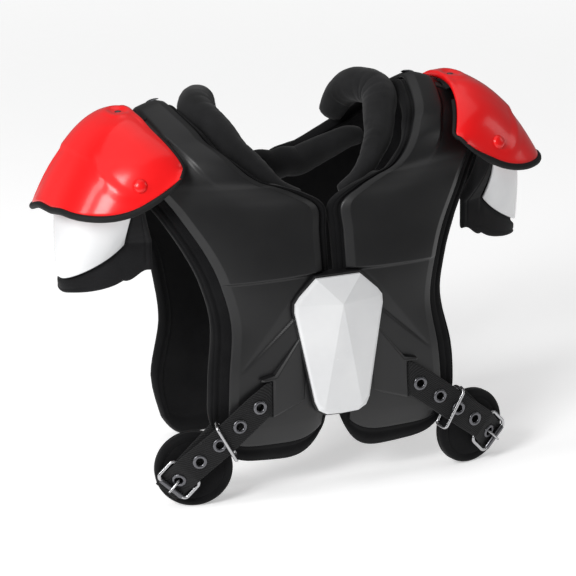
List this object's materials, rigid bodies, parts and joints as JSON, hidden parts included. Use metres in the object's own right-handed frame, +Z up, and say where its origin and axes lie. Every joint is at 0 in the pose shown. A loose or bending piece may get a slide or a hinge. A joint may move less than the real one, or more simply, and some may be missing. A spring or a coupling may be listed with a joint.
{
  "type": "football shoulder pad",
  "caption": "Football shoulder pad with padded halves, moulded chest plates, red shoulder caps, arm cups, neck rolls and buckled straps.",
  "frame": {"origin": "on the floor under the middle of the pad's bounding box", "axes": "+X to the wearer's left, -Y to the front, +Z up"},
  "size_m": [0.5042, 0.236, 0.3727],
  "materials": {
    "fabric": "black knit cover over foam",
    "moulded_plate": "satin black moulded plastic",
    "cap_plastic": "glossy red",
    "pale_plastic": "glossy pale grey",
    "webbing": "black woven webbing",
    "metal": "dark nickel"
  },
  "bodies": {
    "root": {"liner_l": "fabric", "shell_l": "moulded_plate", "neck_roll_l": "fabric", "cap_l": "cap_plastic", "cap_binding_l": "fabric", "cap_strap_l": "webbing", "cup_l": "pale_plastic", "cup_pad_l": "fabric", "strap_l": "webbing", "eyelet_1_l": "metal", "eyelet_2_l": "metal", "eyelet_3_l": "metal", "eyelet_4_l": "metal", "eyelet_5_l": "metal", "strap_loop_l": "metal", "buckle_frame_l": "metal", "buckle_tongue_l": "metal", "buckle_strap_l": "webbing", "round_pad_l": "fabric", "cap_rivet_l": "cap_plastic", "cap_top_rivet_l": "cap_plastic", "cup_rivet_l": "metal", "shoulder_rivet_l": "metal", "liner_r": "fabric", "shell_r": "moulded_plate", "neck_roll_r": "fabric", "cap_r": "cap_plastic", "cap_binding_r": "fabric", "cap_strap_r": "webbing", "cup_r": "pale_plastic", "cup_pad_r": "fabric", "strap_r": "webbing", "eyelet_1_r": "metal", "eyelet_2_r": "metal", "eyelet_3_r": "metal", "eyelet_4_r": "metal", "eyelet_5_r": "metal", "strap_loop_r": "metal", "buckle_frame_r": "metal", "buckle_tongue_r": "metal", "buckle_strap_r": "webbing", "round_pad_r": "fabric", "cap_rivet_r": "cap_plastic", "cap_top_rivet_r": "cap_plastic", "cup_rivet_r": "metal", "shoulder_rivet_r": "metal", "sternum_plate": "pale_plastic", "sternum_base": "moulded_plate", "back_plate": "moulded_plate", "back_collar": "fabric"}
  },
  "joints": []
}
